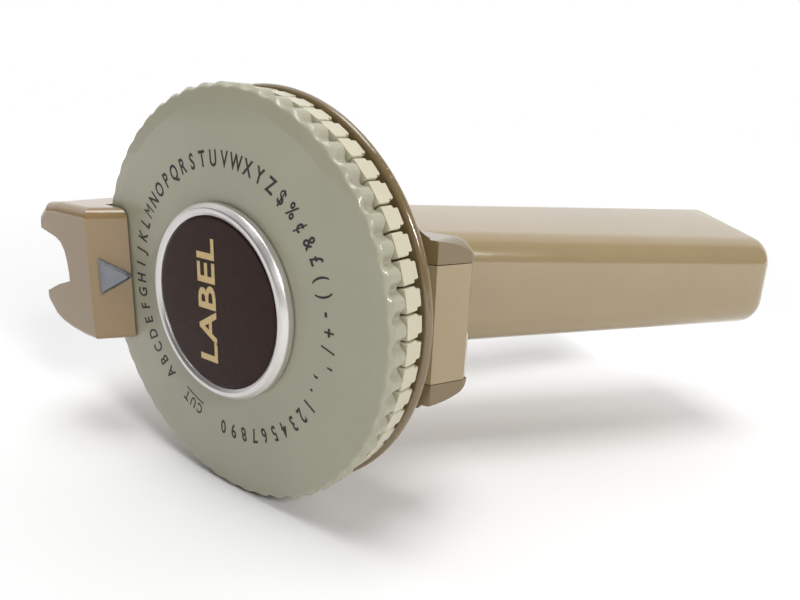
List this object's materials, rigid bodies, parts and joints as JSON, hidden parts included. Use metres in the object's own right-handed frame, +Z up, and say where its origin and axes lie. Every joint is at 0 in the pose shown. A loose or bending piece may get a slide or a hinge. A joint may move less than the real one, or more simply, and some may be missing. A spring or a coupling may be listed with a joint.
{
  "type": "label maker",
  "caption": "Hand-held embossing label maker: a round character dial on a hollow housing with a notched nose, an inclined grip and a squeeze lever.",
  "frame": {"origin": "on the ground under the middle of the bounding box, the tool standing on the rim of its disc-shaped wall", "axes": "+X from the nose to the rear block, +Y from the dial's face to the back, +Z up; the dial turns about Y"},
  "size_m": [0.1686, 0.1624, 0.1018],
  "materials": {
    "beige_plastic": "glossy",
    "ivory_plastic": "satin",
    "silver": "satin",
    "brown_foil": "glossy",
    "grey_metal": "satin",
    "steel": "satin",
    "tape": "glossy",
    "black_plastic": "matte"
  },
  "bodies": {
    "frame": {"housing_upper": "beige_plastic", "housing_lower": "beige_plastic", "housing_bolts": "steel", "door_pin": "steel", "nose_pointer": "grey_metal", "cutter_blade": "steel", "anvil_pad": "steel", "hub_post": "steel", "hub_ring": "silver", "hub_badge": "brown_foil", "hub_screw": "steel", "hub_washer": "steel", "detent_plunger": "steel", "detent_spring": "steel", "lever_pin": "steel", "lever_spring": "steel", "feed_axle": "steel", "ratchet_spring": "steel", "grip_shell": "beige_plastic", "grip_cover": "beige_plastic", "cover_screws": "steel", "grip_bolts": "steel", "tape_magazine": "black_plastic", "spool_post": "steel"},
    "dial": {"dial_front_disc": "ivory_plastic", "dial_finger_disc": "ivory_plastic", "dial_bush": "steel", "dial_rivets": "steel", "detent_ring": "steel"},
    "lever": {"lever": "beige_plastic"},
    "hammer": {"hammer": "steel"},
    "feed": {"feed_roller": "black_plastic", "ratchet_wheel": "steel"},
    "spool": {"tape_spool": "black_plastic", "tape_roll": "tape"},
    "door": {"rear_door": "beige_plastic"}
  },
  "joints": [
    {"name": "dial_spin", "type": "hinge", "parent": "frame", "child": "dial", "pos_m": [-0.01645, -0.07215, 0.0509], "axis": [0, 1, 0], "continuous": true},
    {"name": "lever_squeeze", "type": "hinge", "parent": "frame", "child": "lever", "pos_m": [-0.07345, -0.05015, 0.0509], "axis": [0, 0, -1], "range_deg": [0, 9], "stiffness_Nm_per_rad": 1.2, "springref_deg": -8.59},
    {"name": "hammer_slide", "type": "slide", "parent": "frame", "child": "hammer", "axis": [0, -1, 0], "range_m": [0, 0.00175]},
    {"name": "feed_spin", "type": "hinge", "parent": "frame", "child": "feed", "pos_m": [-0.04745, -0.05115, 0.0509], "axis": [0, 0, 1], "continuous": true},
    {"name": "spool_spin", "type": "hinge", "parent": "frame", "child": "spool", "pos_m": [0.02891, 0.0138, 0.0509], "axis": [0, 0, 1], "continuous": true},
    {"name": "door_swing", "type": "hinge", "parent": "frame", "child": "door", "pos_m": [0.03115, -0.04565, 0.0509], "axis": [0, 0, 1], "range_deg": [0, 70]}
  ],
  "couplings": [
    {"joint": "hammer_slide", "follows": "lever_squeeze", "m_per_rad": 0.011}
  ]
}
